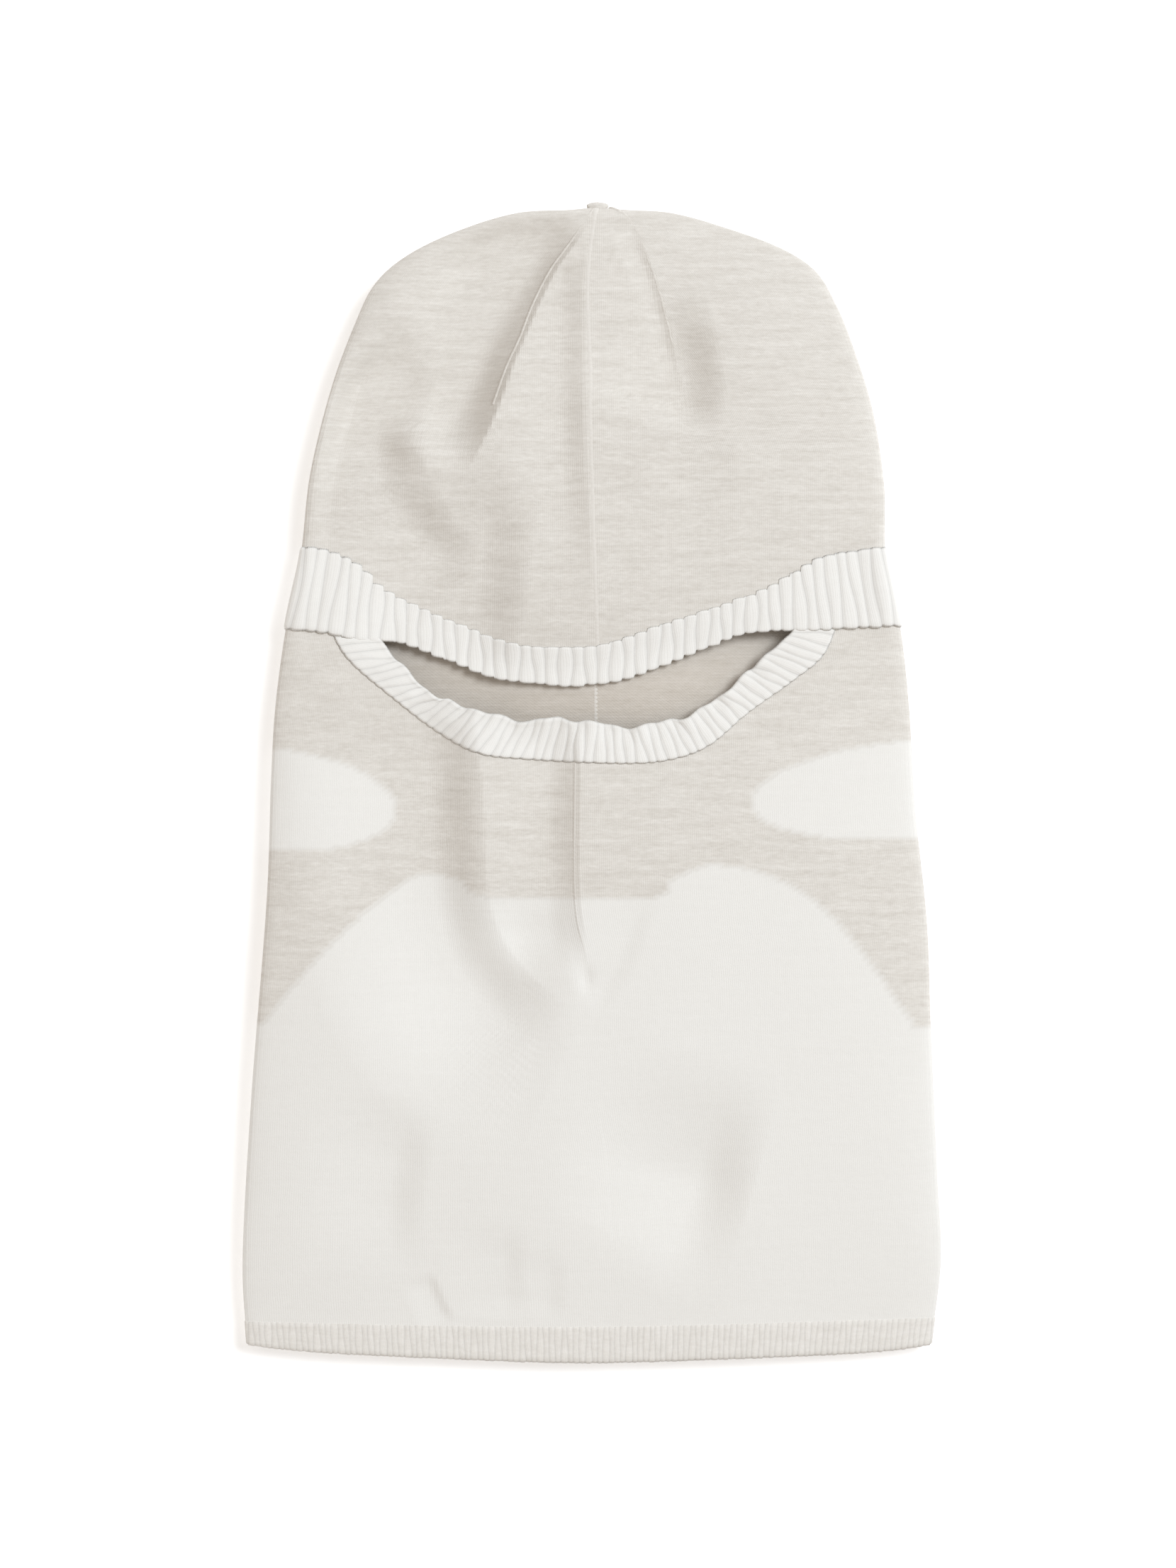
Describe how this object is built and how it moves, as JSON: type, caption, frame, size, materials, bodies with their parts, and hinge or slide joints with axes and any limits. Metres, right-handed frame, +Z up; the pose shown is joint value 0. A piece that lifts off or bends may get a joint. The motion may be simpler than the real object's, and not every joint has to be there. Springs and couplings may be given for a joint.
{
  "type": "knitted balaclava",
  "caption": "Fine knitted balaclava laid flat: seamed crown, ribbed brow and chin bands round the face opening, pale inset shapes, ribbed hem.",
  "frame": {"origin": "centre of the footprint on the surface it lies on, under the back layer", "axes": "+Z up out of the face side, +Y towards the crown, +X to the right of someone looking down on the face side"},
  "size_m": [0.2555, 0.428, 0.0194],
  "materials": {
    "oatmeal_jersey": "fine melange jersey, matte",
    "ivory_jersey": "fine jersey, matte",
    "ivory_rib": "raised rib knit, matte",
    "oatmeal_rib": "fine rib knit, matte",
    "oatmeal_seam": "linked seam, matte"
  },
  "bodies": {
    "root": {"crown_left": "oatmeal_jersey", "crown_right": "oatmeal_jersey", "brow_band": "ivory_rib", "chin_band": "ivory_rib", "face_left": "oatmeal_jersey", "face_right": "oatmeal_jersey", "cheek_patch_left": "ivory_jersey", "cheek_patch_right": "ivory_jersey", "neck_left": "ivory_jersey", "neck_right": "ivory_jersey", "hem_band": "oatmeal_rib", "crown_front_seam": "oatmeal_seam", "crown_back_seam": "oatmeal_seam", "lower_front_seam": "oatmeal_seam", "lower_back_seam": "oatmeal_seam", "crown_knot": "oatmeal_seam"}
  },
  "joints": []
}
